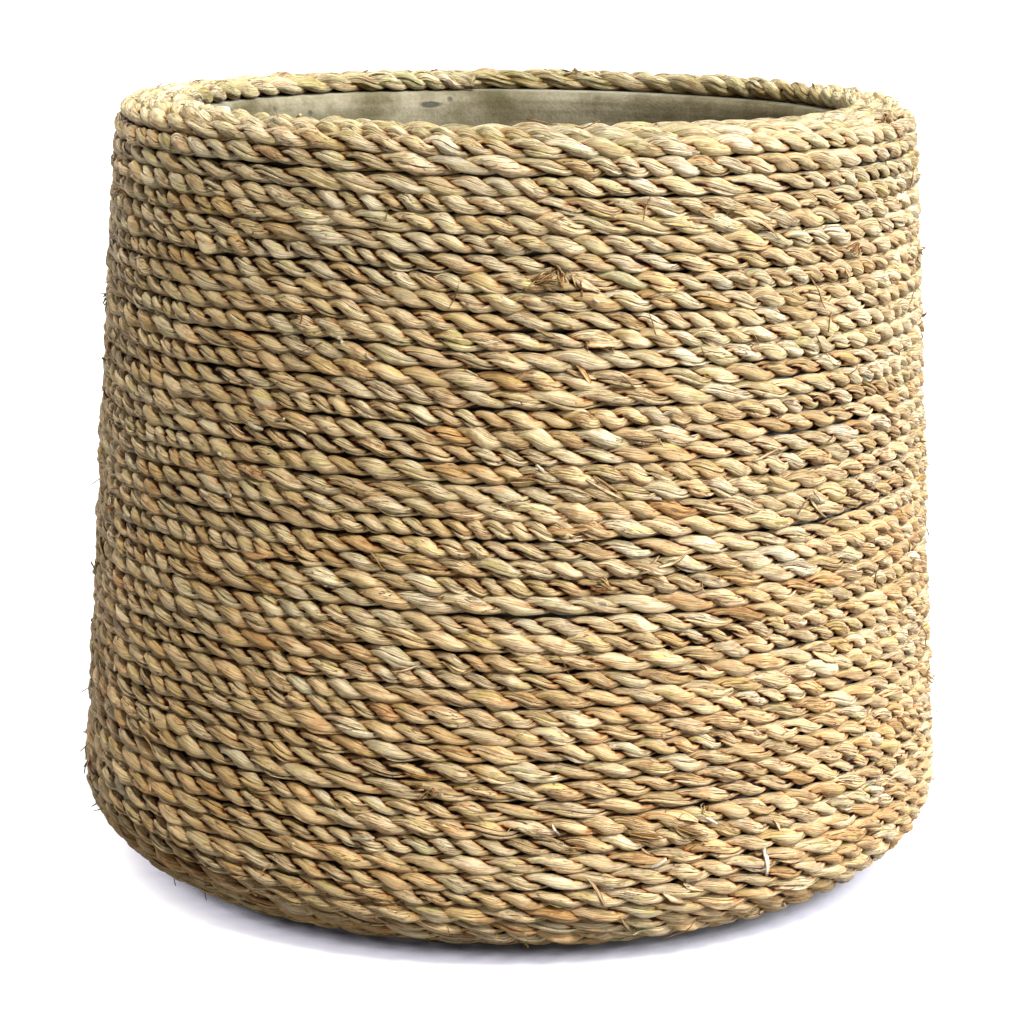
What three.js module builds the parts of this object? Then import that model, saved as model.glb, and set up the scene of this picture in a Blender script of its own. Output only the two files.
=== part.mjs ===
// A round cement planter wound with straw rope, in millimetres, +Z up.
// The origin is the centre of the foot's flat underside, so the planter stands on z = 0.
//
// The pot is one thick cement casting, turned about Z: a low foot, a rounded lower corner, a
// wall that leans in towards the top, and a broad flat lip round a narrower mouth. One layer of
// rope is glued to its outside. The rope starts beside the foot, climbs the wall turn upon turn,
// bends over the shoulder and crosses the lip to the mouth, in three lengths laid end to end.
// A photograph of the front looks along +Y. The rope climbs clockwise as seen from above.

import * as THREE from 'three';

// Cement pot
const potHeight = 265.2;
const bellyRadius = 147.9;
const lipRadius = 133.6;
const lipWidth = 20.2;
const lipDepth = 27;
const lipFlare = 34;
const lipEdge = 2.5;
const shoulderRadius = 2.2;
const cornerRise = 23.6;
const footRadius = 112.4;
const footEdge = 1.5;
const ledgeWidth = 4.6;
const wallThickness = 14;
const floorThickness = 18;
const innerCorner = 24;

// Straw rope, seen as one soft strand: its depth stands off the wall, its width lies along it
const ropeDepth = 6.6;
const ropeWidth = 5.35;
const turnGap = 0.6;
const rimTurns = 3.7;

// Clearances: rope over the floor, rope over the cement, and between two rope ends
const floorClearance = 3;
const seatGap = 0.3;
const buttGap = 0.35;

// Fineness of the faceting
const stepsPerTurn = 22;
const potSegments = 3 * stepsPerTurn;
const arcSteps = 4;
const lineSamples = 1200;

// Sizes that follow
const footHeight = floorClearance + ropeDepth + seatGap;
const cornerReach = bellyRadius - footRadius - ledgeWidth;
const cornerHeight = footHeight + cornerRise;
const mouthRadius = lipRadius - lipWidth;
const shoulderHeight = potHeight - shoulderRadius;
const lean = Math.atan2(bellyRadius - lipRadius, shoulderHeight - cornerHeight);

const cementMaterial = new THREE.MeshStandardMaterial({ color: '#8d8b84', roughness: 0.95, metalness: 0 });
const rimMaterial = new THREE.MeshStandardMaterial({ color: '#d3bf93', roughness: 0.85, metalness: 0 });
const upperMaterial = new THREE.MeshStandardMaterial({ color: '#cdb88b', roughness: 0.85, metalness: 0 });
const lowerMaterial = new THREE.MeshStandardMaterial({ color: '#c6b083', roughness: 0.85, metalness: 0 });

// Adds the pot's outside, from the top of the foot, to a path of (radius, height): the ledge over
// the foot, the lower corner, the leaning wall and the shoulder.
function traceOutside(path) {
  const cornerEnd = Math.atan((cornerRise / cornerReach) * Math.tan(lean));
  path.lineTo(footRadius + ledgeWidth, footHeight);
  path.absellipse(footRadius + ledgeWidth, cornerHeight, cornerReach, cornerRise, -Math.PI / 2, cornerEnd);
  path.absarc(lipRadius - shoulderRadius, shoulderHeight, shoulderRadius, lean, Math.PI / 2);
}

// The wall's outer radius at a height between the lower corner and the shoulder.
function wallRadius(height) {
  return bellyRadius - Math.tan(lean) * (height - cornerHeight);
}

// Adds the pot's inside: the mouth, the lip's underside, the wall, the lower corner and the floor.
function traceInside(path) {
  const flareTop = potHeight - lipDepth;
  const flareBottom = flareTop - lipFlare;
  const innerWall = (height) => wallRadius(height) - wallThickness;
  const cornerTop = floorThickness + innerCorner;
  path.absarc(mouthRadius + lipEdge, potHeight - lipEdge, lipEdge, Math.PI / 2, Math.PI);
  path.lineTo(mouthRadius, flareTop);
  path.bezierCurveTo(
    mouthRadius, flareTop - lipFlare / 2,
    innerWall(flareBottom), flareBottom + lipFlare / 2,
    innerWall(flareBottom), flareBottom,
  );
  path.lineTo(innerWall(cornerTop), cornerTop);
  path.absarc(innerWall(cornerTop) - innerCorner, cornerTop, innerCorner, 0, -Math.PI / 2, true);
  path.lineTo(0, floorThickness);
}

function makePot() {
  const section = new THREE.Path();
  section.moveTo(0, 0);
  section.lineTo(footRadius - footEdge, 0);
  section.lineTo(footRadius, footEdge);
  section.lineTo(footRadius, footHeight);
  traceOutside(section);
  traceInside(section);
  const geometry = new THREE.LatheGeometry(section.getPoints(arcSteps), potSegments);
  geometry.rotateX(Math.PI / 2);
  return geometry;
}

// The line that the rope's middle follows over the pot, from the foot to the mouth: the pot's
// outside, moved out by the seat gap and half the rope's depth.
function makeRopeLine() {
  const outside = new THREE.Path();
  outside.moveTo(footRadius, footHeight);
  traceOutside(outside);
  outside.lineTo(mouthRadius, potHeight);
  const offset = seatGap + ropeDepth / 2;
  const points = [];
  for (let i = 0; i <= lineSamples; i++) {
    const point = outside.getPointAt(i / lineSamples);
    const tangent = outside.getTangentAt(i / lineSamples);
    points.push(new THREE.Vector2(point.x + tangent.y * offset, point.y - tangent.x * offset));
  }
  const line = new THREE.SplineCurve(points);
  line.arcLengthDivisions = 2 * lineSamples;
  return line;
}

const ropeLine = makeRopeLine();
const lineLength = ropeLine.getLength();
const firstTurn = seatGap + ropeWidth / 2;
const lastTurn = lineLength - ropeWidth / 2;
const turns = Math.floor((lastTurn - firstTurn) / (ropeWidth + turnGap));
const pitch = (lastTurn - firstTurn) / turns;

// The rope's section at a whole step of the winding: its outer, upper, inner and lower corners.
// Both free ends lie at the back. Corners are spread so that chords clear the round pot.
function ropeSection(step) {
  const along = THREE.MathUtils.clamp(firstTurn + (pitch * step) / stepsPerTurn, 0, lineLength);
  const middle = ropeLine.getPointAt(along / lineLength);
  const tangent = ropeLine.getTangentAt(along / lineLength);
  const angle = Math.PI / 2 - (2 * Math.PI * step) / stepsPerTurn;
  const spread = 1 / Math.cos(Math.PI / stepsPerTurn);
  const corner = (out, up) => {
    const radius = (middle.x + tangent.y * out + tangent.x * up) * spread;
    const height = middle.y - tangent.x * out + tangent.y * up;
    return new THREE.Vector3(radius * Math.cos(angle), radius * Math.sin(angle), height);
  };
  return [
    corner(ropeDepth / 2, 0),
    corner(0, ropeWidth / 2),
    corner(-ropeDepth / 2, 0),
    corner(0, -ropeWidth / 2),
  ];
}

// The section halfway between two steps, moved along the rope. Rope ends are cut there, where
// the rope runs straight, so that an end is square to the rope and to the end that it meets.
function cutSection(step, shift) {
  const before = ropeSection(Math.floor(step));
  const after = ropeSection(Math.ceil(step));
  return before.map((point, i) => {
    const share = 0.5 + shift / point.distanceTo(after[i]);
    return point.clone().lerp(after[i], share);
  });
}

// One unbroken length of rope, from one cut to the next, as a closed tube.
function windRope(fromStep, toStep) {
  const sections = [cutSection(fromStep, buttGap / 2)];
  for (let step = Math.ceil(fromStep); step <= Math.floor(toStep); step++) {
    sections.push(ropeSection(step));
  }
  sections.push(cutSection(toStep, -buttGap / 2));
  return sections;
}

function tubeGeometry(sections) {
  const sides = sections[0].length;
  const last = (sections.length - 1) * sides;
  const indices = [];
  for (let ring = 0; ring < last; ring += sides) {
    for (let side = 0; side < sides; side++) {
      const a = ring + side;
      const b = ring + ((side + 1) % sides);
      indices.push(a, b, a + sides, b, b + sides, a + sides);
    }
  }
  for (let side = 1; side < sides - 1; side++) {
    indices.push(0, side + 1, side);
    indices.push(last, last + side, last + side + 1);
  }
  const geometry = new THREE.BufferGeometry().setFromPoints(sections.flat());
  geometry.setIndex(indices);
  geometry.computeVertexNormals();
  return geometry;
}

// The least distance between points of one length of rope that lie on different turns.
function leastTurnGap(sections) {
  const points = sections.map((section) => section.flatMap((point, side) => {
    const next = section[(side + 1) % section.length];
    return [point, point.clone().lerp(next, 0.25), point.clone().lerp(next, 0.5), point.clone().lerp(next, 0.75)];
  }));
  let least = Infinity;
  for (let i = 0; i < points.length; i++) {
    for (let j = i + stepsPerTurn - 1; j <= Math.min(i + stepsPerTurn + 1, points.length - 1); j++) {
      for (const here of points[i]) {
        for (const there of points[j]) {
          least = Math.min(least, here.distanceTo(there));
        }
      }
    }
  }
  return least;
}

// The rope's lengths meet halfway between two steps: low on the back of the wall, and on the
// shoulder at the right, where the rim's length begins.
const ropeStart = 0.5;
const ropeEnd = turns * stepsPerTurn - 0.5;
const rimStart = ropeEnd - Math.round(rimTurns * stepsPerTurn);
const wallJoint = Math.round((turns - rimTurns) / 2) * stepsPerTurn - 0.5;

const planter = new THREE.Group();

function addPiece(name, geometry, material) {
  const mesh = new THREE.Mesh(geometry, material);
  mesh.name = name;
  planter.add(mesh);
}

addPiece('cement_pot', makePot(), cementMaterial);

const ropes = [
  ['lower_wall_rope', ropeStart, wallJoint, lowerMaterial],
  ['upper_wall_rope', wallJoint, rimStart, upperMaterial],
  ['rim_rope', rimStart, ropeEnd, rimMaterial],
];
for (const [name, fromStep, toStep, material] of ropes) {
  const sections = windRope(fromStep, toStep);
  addPiece(name, tubeGeometry(sections), material);
  const loops = ((toStep - fromStep) / stepsPerTurn).toFixed(1);
  console.log(`${name}: ${loops} loops, least gap to itself ${leastTurnGap(sections).toFixed(2)} mm`);
}

export default planter;
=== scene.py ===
# %% [markdown]
# # A rope-wound cement planter
# The real thing is a thick cement pot with one layer of hand-twisted straw rope glued round its
# outside. The construction model already holds the pot and the rope's middle line, so this lesson
# is about the looks: a rope of two strands that is really twisted, straw that is really folded,
# and cement that was really cast. Lengths are in millimetres until a mesh is made.

import math

import bpy
import numpy as np
from mathutils import Matrix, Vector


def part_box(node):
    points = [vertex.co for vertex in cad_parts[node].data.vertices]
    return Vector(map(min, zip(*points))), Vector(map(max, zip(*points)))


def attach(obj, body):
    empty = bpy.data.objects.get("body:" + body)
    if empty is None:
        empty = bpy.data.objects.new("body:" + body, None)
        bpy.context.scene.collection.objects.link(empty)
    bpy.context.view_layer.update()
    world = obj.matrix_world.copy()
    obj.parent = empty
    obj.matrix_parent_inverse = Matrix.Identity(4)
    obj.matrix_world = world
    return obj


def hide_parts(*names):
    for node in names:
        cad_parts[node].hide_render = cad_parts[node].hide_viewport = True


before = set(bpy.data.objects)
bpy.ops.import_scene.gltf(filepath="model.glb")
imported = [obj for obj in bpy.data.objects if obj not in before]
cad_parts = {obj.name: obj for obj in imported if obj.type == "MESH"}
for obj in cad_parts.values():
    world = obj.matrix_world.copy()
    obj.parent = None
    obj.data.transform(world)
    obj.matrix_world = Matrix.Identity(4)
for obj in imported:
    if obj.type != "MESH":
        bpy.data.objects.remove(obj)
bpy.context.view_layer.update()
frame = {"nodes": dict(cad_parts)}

MM = 0.001
PI = math.pi
TURN = 2 * math.pi
print("construction model holds", ", ".join(frame["nodes"]))

# %% [markdown]
# ## Camera
# A long lens and a low viewpoint make the mouth a thin ellipse. The focal length, height and
# tilt were fitted to both walls' outlines and to the ellipses of the mouth and the base, with the
# sizes of the construction model. The camera comes first, so that everything else can be looked
# at through it.

# %% Camera
LENS_MM = 104.3
SENSOR_MM = 36.0
CAMERA_BACK = 1052.2
CAMERA_UP = 352.5
CAMERA_PITCH = math.radians(90 - 12.37)
CAMERA_ROLL = math.radians(0.53)

camera = bpy.data.objects.new("camera", bpy.data.cameras.new("camera"))
camera.data.sensor_width = SENSOR_MM
camera.data.lens = LENS_MM
camera.data.clip_start = 0.05
camera.data.clip_end = 50
camera.matrix_world = (
    Matrix.Translation((0, -CAMERA_BACK * MM, CAMERA_UP * MM))
    @ Matrix.Rotation(CAMERA_PITCH, 4, "X")
    @ Matrix.Rotation(CAMERA_ROLL, 4, "Z")
)
bpy.context.scene.collection.objects.link(camera)
bpy.context.scene.camera = camera
print("camera", round(CAMERA_BACK), "mm in front,", round(CAMERA_UP), "mm up")

# %% [markdown]
# ## Small helpers
# Colours are written as they are seen, in sRGB, and Blender wants them linear. Nodes are added
# by one function, so that a material reads as a list of what feeds what. A mesh is filled from
# whole arrays of points and faces, which is far quicker than face by face. Two curves come back
# again and again: a smooth ramp, and a curve that wanders by chance between fixed limits.

# %% Helpers for colour and nodes
def linear(code):
    """An sRGB hex colour as a linear RGBA tuple."""
    parts = [int(code[i:i + 2], 16) / 255 for i in (1, 3, 5)]
    return tuple(c / 12.92 if c <= 0.04045 else ((c + 0.055) / 1.055) ** 2.4 for c in parts) + (1,)


def add(tree, kind, settings=None, **inputs):
    """Adds a node. Settings are its own properties, with stops as places and colours for a colour
    ramp. Inputs are values, sockets to link, or nodes whose first output is linked, and each is
    called by its name, with _ for a space, or by its number, as _0."""
    node = tree.nodes.new(kind)
    for name, value in (settings or {}).items():
        if name != "stops":
            setattr(node, name, value)
            continue
        elements = node.color_ramp.elements
        while len(elements) < len(value):
            elements.new(0.5)
        for element, (position, code) in zip(elements, value):
            element.position = position
            element.color = linear(code)
    for name, value in inputs.items():
        key = int(name[1:]) if name[1:].isdigit() else name.replace("_", " ")
        socket = node.inputs[key]
        if isinstance(value, bpy.types.Node):
            value = value.outputs[0]
        if isinstance(value, bpy.types.NodeSocket):
            tree.links.new(value, socket)
        else:
            socket.default_value = value
    return node


def new_material(name):
    """An empty material, its node tree and its output node."""
    material = bpy.data.materials.new(name)
    material.use_nodes = True
    tree = material.node_tree
    tree.nodes.clear()
    return material, tree, tree.nodes.new("ShaderNodeOutputMaterial")


# %% Helpers for meshes
def make_object(name, points_mm, faces, material, smooth=None):
    """Makes an object at the origin from points in millimetres and a list of face arrays.

    faces holds arrays of one row per face, all rows of an array with as many corners, and smooth
    says for each array whether its faces are shaded smooth."""
    smooth = smooth or [True] * len(faces)
    mesh = bpy.data.meshes.new(name)
    corners = np.concatenate([f.ravel() for f in faces]).astype(np.int32)
    counts = np.concatenate([np.full(len(f), f.shape[1]) for f in faces])
    starts = np.concatenate([[0], np.cumsum(counts)[:-1]]).astype(np.int32)
    mesh.vertices.add(len(points_mm))
    mesh.vertices.foreach_set("co", (points_mm * MM).astype(np.float32).ravel())
    mesh.loops.add(len(corners))
    mesh.loops.foreach_set("vertex_index", corners)
    mesh.polygons.add(len(counts))
    mesh.polygons.foreach_set("loop_start", starts)
    shade = np.concatenate([np.full(len(f), s) for f, s in zip(faces, smooth)])
    mesh.polygons.foreach_set("use_smooth", shade)
    mesh.update(calc_edges=True)
    mesh.validate()
    mesh.materials.append(material)
    obj = bpy.data.objects.new(name, mesh)
    bpy.context.scene.collection.objects.link(obj)
    return obj


def store_numbers(obj, name, values):
    """Keeps a number for each point of the mesh, under a name that a material can read."""
    attribute = obj.data.attributes.new(name, "FLOAT", "POINT")
    attribute.data.foreach_set("value", np.ravel(values).astype(np.float32))


# %% Helpers for chance and ramps
def ease(value, start, end):
    """0 before start, 1 after end and a smooth ramp between."""
    share = np.clip((value - start) / (end - start), 0, 1)
    return share * share * (3 - 2 * share)


def wander(along, spacing, seed):
    """A smooth random curve between -1 and 1: random heights every spacing, joined by ramps
    that are level at both ends."""
    cell = np.floor(along / spacing).astype(int)
    heights = np.random.default_rng(seed).uniform(-1, 1, cell.max() - cell.min() + 2)
    share = ease(along / spacing - cell, 0, 1)
    here = cell - cell.min()
    return heights[here] * (1 - share) + heights[here + 1] * share


def drift(along, waves):
    """A sum of wandering curves. Each wave is its height, its spacing and its seed."""
    return sum(height * wander(along, spacing, seed) for height, spacing, seed in waves)


# %% [markdown]
# ## The pot in section
# The pot is a turned shape, so one outline says it all: foot, ledge, rounded lower corner, leaning
# wall, small shoulder, broad lip, and then back down the inside. The sizes are those of the
# construction model, whose box gives the overall ones. The foot is as high as the lowest turn of
# rope reaches, so that the ledge lies on it.

# %% The pot's sizes
pot_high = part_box("cement_pot")[1]
POT_HEIGHT = pot_high[2] / MM
BELLY_RADIUS = pot_high[1] / MM
LIP_RADIUS = 133.6
LIP_WIDTH = 20.2
LIP_DEPTH = 27.0
LIP_FLARE = 34.0
LIP_EDGE = 2.5
SHOULDER_RADIUS = 2.2
CORNER_RISE = 23.6
FOOT_RADIUS = 112.4
FOOT_EDGE = 1.5
LEDGE_WIDTH = 4.6
WALL = 14.0
FLOOR = 18.0
INNER_CORNER = 24.0
ROPE_DEPTH = 6.6
SEAT_GAP = 0.3
FLOOR_CLEARANCE = 3.0
FOOT_HEIGHT = FLOOR_CLEARANCE + ROPE_DEPTH + SEAT_GAP
MOUTH_RADIUS = LIP_RADIUS - LIP_WIDTH
CORNER_REACH = BELLY_RADIUS - FOOT_RADIUS - LEDGE_WIDTH
CORNER_HEIGHT = FOOT_HEIGHT + CORNER_RISE
SHOULDER_HEIGHT = POT_HEIGHT - SHOULDER_RADIUS
LEAN = math.atan2(BELLY_RADIUS - LIP_RADIUS, SHOULDER_HEIGHT - CORNER_HEIGHT)
print("pot", round(2 * BELLY_RADIUS), "mm wide,", round(POT_HEIGHT), "mm high")


# %% The pot's outline
def arc(centre, radii, start, end, count):
    """Points on an ellipse: centre plus radii times the cosine and sine of evenly spaced angles."""
    angle = np.linspace(start, end, count)
    return np.stack([centre[0] + radii[0] * np.cos(angle), centre[1] + radii[1] * np.sin(angle)], 1)


def running_length(points):
    """The distance along an outline from its first point to each of its points."""
    return np.concatenate([[0], np.cumsum(np.linalg.norm(np.diff(points, axis=0), axis=1))])


def evenly(points, step):
    """The same outline with points about one step apart, by its running length."""
    run = running_length(points)
    places = np.linspace(0, run[-1], max(2, round(run[-1] / step) + 1))
    return np.stack([np.interp(places, run, points[:, i]) for i in (0, 1)], 1)


def outside_line():
    """Radius and height from the foot over the ledge, corner, wall and shoulder to the mouth."""
    corner_end = math.atan(CORNER_RISE / CORNER_REACH * math.tan(LEAN))
    corner_centre = (FOOT_RADIUS + LEDGE_WIDTH, CORNER_HEIGHT)
    shoulder_centre = (LIP_RADIUS - SHOULDER_RADIUS, SHOULDER_HEIGHT)
    return np.concatenate([
        [(FOOT_RADIUS, FOOT_HEIGHT)],
        arc(corner_centre, (CORNER_REACH, CORNER_RISE), -PI / 2, corner_end, 60),
        arc(shoulder_centre, (SHOULDER_RADIUS, SHOULDER_RADIUS), LEAN, PI / 2, 16),
    ])


def inside_line():
    """Radius and height from the mouth's edge down the lip, flare, wall and corner to the floor."""
    def inner(height):
        return BELLY_RADIUS - math.tan(LEAN) * (height - CORNER_HEIGHT) - WALL
    flare_top = POT_HEIGHT - LIP_DEPTH
    flare_bottom = flare_top - LIP_FLARE
    share = np.linspace(0, 1, 16)
    flare_radius = MOUTH_RADIUS + (inner(flare_bottom) - MOUTH_RADIUS) * ease(share, 0, 1)
    flare = np.stack([flare_radius, flare_top - LIP_FLARE * share], 1)
    corner_top = FLOOR + INNER_CORNER
    corner_centre = (inner(corner_top) - INNER_CORNER, corner_top)
    edge_centre = (MOUTH_RADIUS + LIP_EDGE, POT_HEIGHT - LIP_EDGE)
    return np.concatenate([
        arc(edge_centre, (LIP_EDGE, LIP_EDGE), PI / 2, PI, 9),
        flare,
        arc(corner_centre, (INNER_CORNER, INNER_CORNER), 0, -PI / 2, 20),
    ])


# %% [markdown]
# ## Cement
# Cast cement is matt and grey, never one grey: it dries in clouds, water and earth leave faint
# level streaks, and small air bubbles break open at the surface. Cloudy noise in the object's own
# coordinates does the first, the same noise squeezed in height the second, and a few small dark
# cells the third; their darkness is painted shade in the open bubbles. Water has also stained the
# inside olive brown, and a number stored in the mesh says how far inside a point is.

# %% Cement material
HOLE_PLACE = (-33.3 * MM, 108.4 * MM, 259.7 * MM)
HOLE_SIZE = (5.0 * MM, 5.0 * MM, 1.4 * MM)


def cement_material():
    """Cast cement, left bare: the grey mottle makes it read as mineral and not as plastic."""
    material, tree, output = new_material("cast_cement")
    place = add(tree, "ShaderNodeTexCoord").outputs["Object"]
    inside = add(tree, "ShaderNodeAttribute", {"attribute_name": "inside"}).outputs["Fac"]
    # Clouds 40 mm across, streaks 70 mm long and 5 mm high, grit of 1 mm, bubbles 14 mm apart.
    cloud = add(tree, "ShaderNodeTexNoise", Vector=place, Scale=26.0, Detail=7.0, Roughness=0.66)
    level = add(tree, "ShaderNodeMapping", Vector=place, Scale=(9.0, 9.0, 130.0))
    streak = add(tree, "ShaderNodeTexNoise", Vector=level, Scale=1.6, Detail=5.0, Roughness=0.62)
    grit = add(tree, "ShaderNodeTexNoise", Vector=place, Scale=900.0, Detail=3.0)
    bubbles = add(tree, "ShaderNodeTexVoronoi", Vector=place, Scale=70.0)
    mixed = add(tree, "ShaderNodeMath", {"operation": "ADD"}, _0=cloud, _1=streak)
    mixed = add(tree, "ShaderNodeMath", {"operation": "MULTIPLY_ADD"}, _0=grit, _1=0.3, _2=mixed)
    half = add(tree, "ShaderNodeMath", {"operation": "MULTIPLY"}, _0=mixed, _1=0.435)
    tone = add(tree, "ShaderNodeValToRGB", {"stops": (
        (0.36, "#67614f"), (0.45, "#858070"), (0.52, "#9a958a"), (0.60, "#b0aca3"),
        (0.70, "#c9c6bf"))}, Fac=half)
    stain = add(tree, "ShaderNodeValToRGB", {"stops": (
        (0.40, "#a8a082"), (0.60, "#d6cfb8"))}, Fac=cloud)
    stained = add(tree, "ShaderNodeMix", {"data_type": "RGBA", "blend_type": "MULTIPLY"},
                  _0=inside, _6=tone, _7=stain)
    bubble = add(tree, "ShaderNodeMapRange", _0=bubbles.outputs["Distance"],
                 _1=0.05, _2=0.11, _3=1.0, _4=0.0)
    # The largest hole is flat and lies just under the mouth, at the back.
    off_hole = add(tree, "ShaderNodeVectorMath", {"operation": "SUBTRACT"}, _0=place, _1=HOLE_PLACE)
    off_hole = add(tree, "ShaderNodeVectorMath", {"operation": "DIVIDE"}, _0=off_hole, _1=HOLE_SIZE)
    off_hole = add(tree, "ShaderNodeVectorMath", {"operation": "LENGTH"}, _0=off_hole)
    ragged = add(tree, "ShaderNodeMath", {"operation": "ADD"}, _0=off_hole.outputs["Value"], _1=cloud)
    hole = add(tree, "ShaderNodeMapRange", _0=ragged, _1=1.2, _2=1.6, _3=1.0, _4=0.0)
    pit = add(tree, "ShaderNodeMath", {"operation": "MAXIMUM"}, _0=bubble, _1=hole)
    # The bubbles and the hole are painted dark: painted shade in their hollows.
    dark = add(tree, "ShaderNodeMix", {"data_type": "RGBA"},
               _0=pit, _6=stained.outputs[2], _7=linear("#4d4a3f"))
    relief = add(tree, "ShaderNodeMath", {"operation": "MULTIPLY_ADD"}, _0=pit, _1=-1.5, _2=grit)
    relief = add(tree, "ShaderNodeMath", {"operation": "MULTIPLY_ADD"}, _0=cloud, _1=1.6, _2=relief)
    bump = add(tree, "ShaderNodeBump", Strength=0.5, Distance=0.4 * MM, Height=relief)
    shader = add(tree, "ShaderNodeBsdfPrincipled", Base_Color=dark.outputs[2], Roughness=0.92,
                 Specular_IOR_Level=0.3, Normal=bump)
    tree.links.new(shader.outputs[0], output.inputs[0])
    return material


cement = cement_material()
print("made material", cement.name)

# %% [markdown]
# ## The pot
# Turning the outline round gives the pot. Two hundred columns keep the mouth round where the
# construction model has flats, and the inside swells in and out by a few tenths of a millimetre,
# because a hand-finished casting never has the lathe's perfection.

# %% The pot's mesh
POT_COLUMNS = 200
POT_STEP = 4.0
UNEVENNESS = 0.35


def turned(outline, columns, first_inside):
    """Turns an outline that starts and ends on the axis: rings of points, quads between rings,
    and a fan of triangles at each pole. From a given point on, which counts as inside, the radius
    swells by slow waves, three and seven to the turn, which lean as they rise."""
    angle = np.linspace(0, TURN, columns, endpoint=False)
    ring = outline[1:-1]
    waves = np.sin(3 * angle + ring[:, 1:] / 41) + 0.6 * np.sin(7 * angle - ring[:, 1:] / 17)
    inside = ease(np.arange(len(ring))[:, None] - first_inside, 0, 2)
    radius = ring[:, :1] + UNEVENNESS * waves * inside * ease(ring[:, :1], 10, 60)
    points = np.stack([radius * np.cos(angle), radius * np.sin(angle),
                       np.broadcast_to(ring[:, 1:], radius.shape)], 2).reshape(-1, 3)
    index = np.arange(len(ring) * columns).reshape(len(ring), columns)
    after = np.roll(index, -1, axis=1)
    quads = np.stack([index[:-1], after[:-1], after[1:], index[1:]], 2).reshape(-1, 4)
    low_pole = np.full(columns, index.size)
    low_fan = np.stack([after[0], index[0], low_pole], 1)
    high_fan = np.stack([index[-1], after[-1], low_pole + 1], 1)
    poles = np.array([[0, 0, outline[0, 1]], [0, 0, outline[-1, 1]]])
    inside = np.concatenate([np.repeat(inside[:, 0], columns), [0, 1]])
    return np.concatenate([points, poles]), [quads, np.concatenate([low_fan, high_fan])], inside


def make_pot():
    """The outline from the axis round the foot, outside and inside back to the axis, turned."""
    foot = np.array([(0, 0), (FOOT_RADIUS - FOOT_EDGE, 0), (FOOT_RADIUS, FOOT_EDGE)])
    outline = evenly(np.concatenate([foot, outside_line(), inside_line(), [(0, FLOOR)]]), POT_STEP)
    mouth = int(np.argmax(outline[:, 1]))
    points, faces, inside = turned(outline, POT_COLUMNS, mouth + 1)
    pot = make_object("pot_body", points, faces, cement)
    store_numbers(pot, "inside", inside)
    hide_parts("cement_pot")
    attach(pot, "root")
    print("pot:", len(faces[0]) + len(faces[1]), "faces")


make_pot()

# %% [markdown]
# ## The rope's middle line
# The rope lies on the pot, so its middle follows the pot's outline half a rope's thickness out.
# A point on the winding is then one number, the turn, counted from the foot. It gives the place
# along that line, and the angle round the pot. Ropes wound by hand also stray: a slow sway up
# and down that neighbouring turns share, because each is pushed against the last, and a little
# that is each turn's own and opens gaps through which the cement shows.

# %% The winding
ROPE_WIDTH = 5.35
TURN_GAP = 0.6
RIM_TURNS = 3.7
STEPS_PER_TURN = 22
LINE_STEP = 0.25


def unit_tangent(points):
    """The direction of an outline at each of its evenly spaced points."""
    tangent = np.gradient(points, axis=0)
    return tangent / np.linalg.norm(tangent, axis=1, keepdims=True)


def rope_line():
    """The outline of the pot's outside, moved out along its normal to the middle of the rope:
    running length, points and unit tangents."""
    points = evenly(np.concatenate([outside_line(), [(MOUTH_RADIUS, POT_HEIGHT)]]), LINE_STEP)
    tangent = unit_tangent(points)
    normal = np.stack([tangent[:, 1], -tangent[:, 0]], 1)
    points = evenly(points + normal * (SEAT_GAP + ROPE_DEPTH / 2), LINE_STEP)
    return running_length(points), points, unit_tangent(points)


line_run, line_points, line_tangent = rope_line()
FIRST_TURN = SEAT_GAP + ROPE_WIDTH / 2
LAST_TURN = line_run[-1] - ROPE_WIDTH / 2
TURNS = math.floor((LAST_TURN - FIRST_TURN) / (ROPE_WIDTH + TURN_GAP))
PITCH = (LAST_TURN - FIRST_TURN) / TURNS
print(TURNS, "turns,", round(PITCH, 2), "mm apart")

# %% [markdown]
# The sway is a sum of a few waves round the pot whose strength changes slowly from turn to turn.
# It dies out at the foot and at the shoulder, where the pot's own edges guide the rope.

# %% Sway and place
SWAY_WAVES = 12
SWAY_SIZE = 0.5
SWAY_FALL = 0.4
SWAY_TURNS = 7.0
LEVEL_TILT = 0.5
TILT_GROWTH = 1.1
TILT_SPAN = 100.0
FOOT_EASE = (6.0, 40.0)
SHOULDER_EASE = (75.0, 32.0)


def sway(turn, angle, run):
    """How far a turn strays along the wall: waves of 1 to 12 round the pot, each one's strength
    wandering over about 7 turns, plus the tilt that the winder's hand gives, which grows with
    the height."""
    total = np.zeros_like(turn)
    for wave in range(1, SWAY_WAVES + 1):
        size = SWAY_SIZE / wave ** SWAY_FALL
        total += size * wander(turn, SWAY_TURNS, 100 + wave) * np.cos(wave * angle)
        total += size * wander(turn, SWAY_TURNS, 200 + wave) * np.sin(wave * angle)
    height_share = (run - line_run[-1] / 2) / TILT_SPAN
    total -= (TILT_GROWTH * height_share - LEVEL_TILT) * np.sin(angle)
    shoulder_start, shoulder_end = (line_run[-1] - distance for distance in SHOULDER_EASE)
    return total * ease(run, *FOOT_EASE) * (1 - ease(run, shoulder_start, shoulder_end))


def wall_frame(angle, run):
    """A place on the rope's middle surface, from the angle round the pot and the running length
    up its outline, with unit vectors out from the pot and up along the outline there."""
    radius, height = (np.interp(run, line_run, line_points[:, i]) for i in (0, 1))
    rise_r, rise_z = (np.interp(run, line_run, line_tangent[:, i]) for i in (0, 1))
    sine, cosine = np.sin(angle), -np.cos(angle)
    middle = np.stack([radius * sine, radius * cosine, height], -1)
    out = np.stack([rise_z * sine, rise_z * cosine, -rise_r], -1)
    up = np.stack([rise_r * sine, rise_r * cosine, rise_z], -1)
    return middle, out, up


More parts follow.
